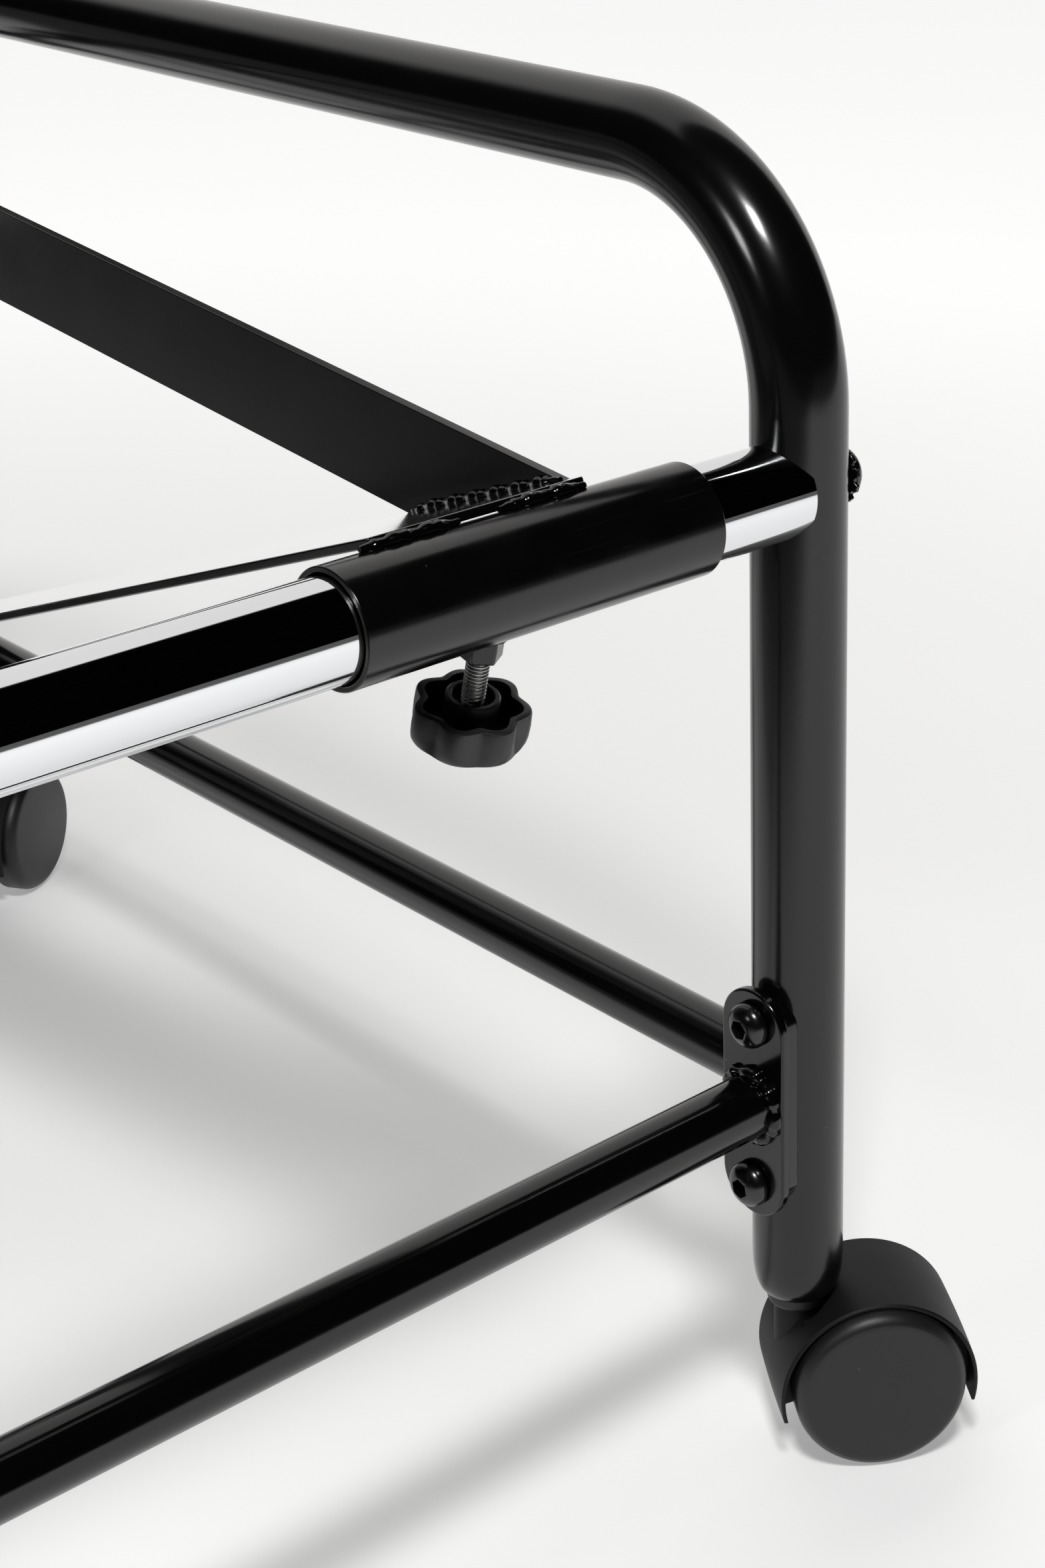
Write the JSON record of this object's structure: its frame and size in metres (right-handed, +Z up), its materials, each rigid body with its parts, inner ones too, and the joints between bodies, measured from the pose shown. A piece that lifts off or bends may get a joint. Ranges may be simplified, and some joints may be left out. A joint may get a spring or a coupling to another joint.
{
  "type": "rolling sleeve-tray stand",
  "caption": "Rolling tube stand: two hoop-shaped side frames joined by chrome and cross rails, with sloping trays sliding on the chrome rails, clamp knobs and twin-wheel casters",
  "frame": {"origin": "on the floor, under the middle of the stand: the centre of the bounding box's base", "axes": "+X runs along the chrome rails toward the right side frame, +Y runs front to rear, +Z is up"},
  "size_m": [0.663, 0.5638, 0.391],
  "materials": {
    "black_powder_coat": "satin black powder coat on welded steel tube",
    "gloss_bar_coat": "glossier black coat on the two cross bars",
    "chrome_plate": "mirror chrome plate",
    "zinc_stud": "bright zinc on cut thread",
    "black_hardware": "black oxide button-head screws, half gloss",
    "black_nylon": "charcoal moulded nylon",
    "knob_plastic": "fine-textured black plastic",
    "gloss_plastic": "shiny black moulded plastic"
  },
  "bodies": {
    "frame": {"right_side_frame": "black_powder_coat", "left_side_frame": "black_powder_coat", "front_chrome_rail": "chrome_plate", "front_cross_bar": "gloss_bar_coat", "rear_chrome_rail": "chrome_plate", "rear_cross_bar": "gloss_bar_coat", "front_right_rail_insert": "zinc_stud", "front_right_rail_bolt": "black_hardware", "front_right_saddle": "gloss_plastic", "front_right_upper_screw": "black_hardware", "front_right_lower_screw": "black_hardware", "front_right_leg_plug": "black_nylon", "front_left_rail_insert": "zinc_stud", "front_left_rail_bolt": "black_hardware", "front_left_saddle": "gloss_plastic", "front_left_upper_screw": "black_hardware", "front_left_lower_screw": "black_hardware", "front_left_leg_plug": "black_nylon", "rear_right_rail_insert": "zinc_stud", "rear_right_rail_bolt": "black_hardware", "rear_right_saddle": "gloss_plastic", "rear_right_upper_screw": "black_hardware", "rear_right_lower_screw": "black_hardware", "rear_right_leg_plug": "black_nylon", "rear_left_rail_insert": "zinc_stud", "rear_left_rail_bolt": "black_hardware", "rear_left_saddle": "gloss_plastic", "rear_left_upper_screw": "black_hardware", "rear_left_lower_screw": "black_hardware", "rear_left_leg_plug": "black_nylon"},
    "right_carriage": {"right_front_sleeve": "black_powder_coat", "right_tray_plate": "black_powder_coat", "right_side_guard": "black_powder_coat"},
    "right_clamp_screw": {"right_clamp_stud": "zinc_stud"},
    "right_knob": {"right_clamp_knob": "knob_plastic"},
    "left_carriage": {"left_front_sleeve": "black_powder_coat", "left_tray_plate": "black_powder_coat", "left_side_guard": "black_powder_coat"},
    "left_clamp_screw": {"left_clamp_stud": "zinc_stud"},
    "left_knob": {"left_clamp_knob": "knob_plastic"},
    "front_right_caster": {"front_right_caster_stem": "zinc_stud", "front_right_caster_hood": "black_nylon", "front_right_caster_axle": "zinc_stud"},
    "front_right_roller_a": {"front_right_wheel_a": "black_nylon"},
    "front_right_roller_b": {"front_right_wheel_b": "black_nylon"},
    "front_left_caster": {"front_left_caster_stem": "zinc_stud", "front_left_caster_hood": "black_nylon", "front_left_caster_axle": "zinc_stud"},
    "front_left_roller_a": {"front_left_wheel_a": "black_nylon"},
    "front_left_roller_b": {"front_left_wheel_b": "black_nylon"},
    "rear_right_caster": {"rear_right_caster_stem": "zinc_stud", "rear_right_caster_hood": "black_nylon", "rear_right_caster_axle": "zinc_stud"},
    "rear_right_roller_a": {"rear_right_wheel_a": "black_nylon"},
    "rear_right_roller_b": {"rear_right_wheel_b": "black_nylon"},
    "rear_left_caster": {"rear_left_caster_stem": "zinc_stud", "rear_left_caster_hood": "black_nylon", "rear_left_caster_axle": "zinc_stud"},
    "rear_left_roller_a": {"rear_left_wheel_a": "black_nylon"},
    "rear_left_roller_b": {"rear_left_wheel_b": "black_nylon"}
  },
  "joints": [
    {"name": "right_carriage_slide", "type": "slide", "parent": "frame", "child": "right_carriage", "axis": [1, 0, 0], "range_m": [-0.12, 0.025]},
    {"name": "right_clamp_travel", "type": "slide", "parent": "right_carriage", "child": "right_clamp_screw", "axis": [0, 0.2588, -0.9659], "range_m": [0, 0.004]},
    {"name": "right_knob_turn", "type": "hinge", "parent": "right_clamp_screw", "child": "right_knob", "pos_m": [0.177, -0.22965, 0.25536], "axis": [0, 0.2588, -0.9659], "range_deg": [0, 1440]},
    {"name": "left_carriage_slide", "type": "slide", "parent": "frame", "child": "left_carriage", "axis": [-1, 0, 0], "range_m": [-0.12, 0.025]},
    {"name": "left_clamp_travel", "type": "slide", "parent": "left_carriage", "child": "left_clamp_screw", "axis": [0, 0.2588, -0.9659], "range_m": [0, 0.004]},
    {"name": "left_knob_turn", "type": "hinge", "parent": "left_clamp_screw", "child": "left_knob", "pos_m": [-0.177, -0.22965, 0.25536], "axis": [0, 0.2588, -0.9659], "range_deg": [0, 1440]},
    {"name": "front_right_caster_swivel", "type": "hinge", "parent": "frame", "child": "front_right_caster", "pos_m": [0.28, -0.24, 0.05], "axis": [0, 0, 1], "continuous": true},
    {"name": "front_right_wheel_a_spin", "type": "hinge", "parent": "front_right_caster", "child": "front_right_roller_a", "pos_m": [0.29744, -0.25133, 0.02525], "axis": [0.5446, 0.8387, 0], "continuous": true},
    {"name": "front_right_wheel_b_spin", "type": "hinge", "parent": "front_right_caster", "child": "front_right_roller_b", "pos_m": [0.29744, -0.25133, 0.02525], "axis": [0.5446, 0.8387, 0], "continuous": true},
    {"name": "front_left_caster_swivel", "type": "hinge", "parent": "frame", "child": "front_left_caster", "pos_m": [-0.28, -0.24, 0.05], "axis": [0, 0, 1], "continuous": true},
    {"name": "front_left_wheel_a_spin", "type": "hinge", "parent": "front_left_caster", "child": "front_left_roller_a", "pos_m": [-0.29744, -0.25133, 0.02525], "axis": [-0.5446, 0.8387, 0], "continuous": true},
    {"name": "front_left_wheel_b_spin", "type": "hinge", "parent": "front_left_caster", "child": "front_left_roller_b", "pos_m": [-0.29744, -0.25133, 0.02525], "axis": [-0.5446, 0.8387, 0], "continuous": true},
    {"name": "rear_right_caster_swivel", "type": "hinge", "parent": "frame", "child": "rear_right_caster", "pos_m": [0.28, 0.24, 0.05], "axis": [0, 0, 1], "continuous": true},
    {"name": "rear_right_wheel_a_spin", "type": "hinge", "parent": "rear_right_caster", "child": "rear_right_roller_a", "pos_m": [0.29744, 0.25133, 0.02525], "axis": [0.5446, -0.8387, 0], "continuous": true},
    {"name": "rear_right_wheel_b_spin", "type": "hinge", "parent": "rear_right_caster", "child": "rear_right_roller_b", "pos_m": [0.29744, 0.25133, 0.02525], "axis": [0.5446, -0.8387, 0], "continuous": true},
    {"name": "rear_left_caster_swivel", "type": "hinge", "parent": "frame", "child": "rear_left_caster", "pos_m": [-0.28, 0.24, 0.05], "axis": [0, 0, 1], "continuous": true},
    {"name": "rear_left_wheel_a_spin", "type": "hinge", "parent": "rear_left_caster", "child": "rear_left_roller_a", "pos_m": [-0.29744, 0.25133, 0.02525], "axis": [-0.5446, -0.8387, 0], "continuous": true},
    {"name": "rear_left_wheel_b_spin", "type": "hinge", "parent": "rear_left_caster", "child": "rear_left_roller_b", "pos_m": [-0.29744, 0.25133, 0.02525], "axis": [-0.5446, -0.8387, 0], "continuous": true}
  ],
  "couplings": [
    {"joint": "right_knob_turn", "follows": "right_clamp_travel", "rad_per_m": 6283.2},
    {"joint": "left_knob_turn", "follows": "left_clamp_travel", "rad_per_m": 6283.2}
  ]
}
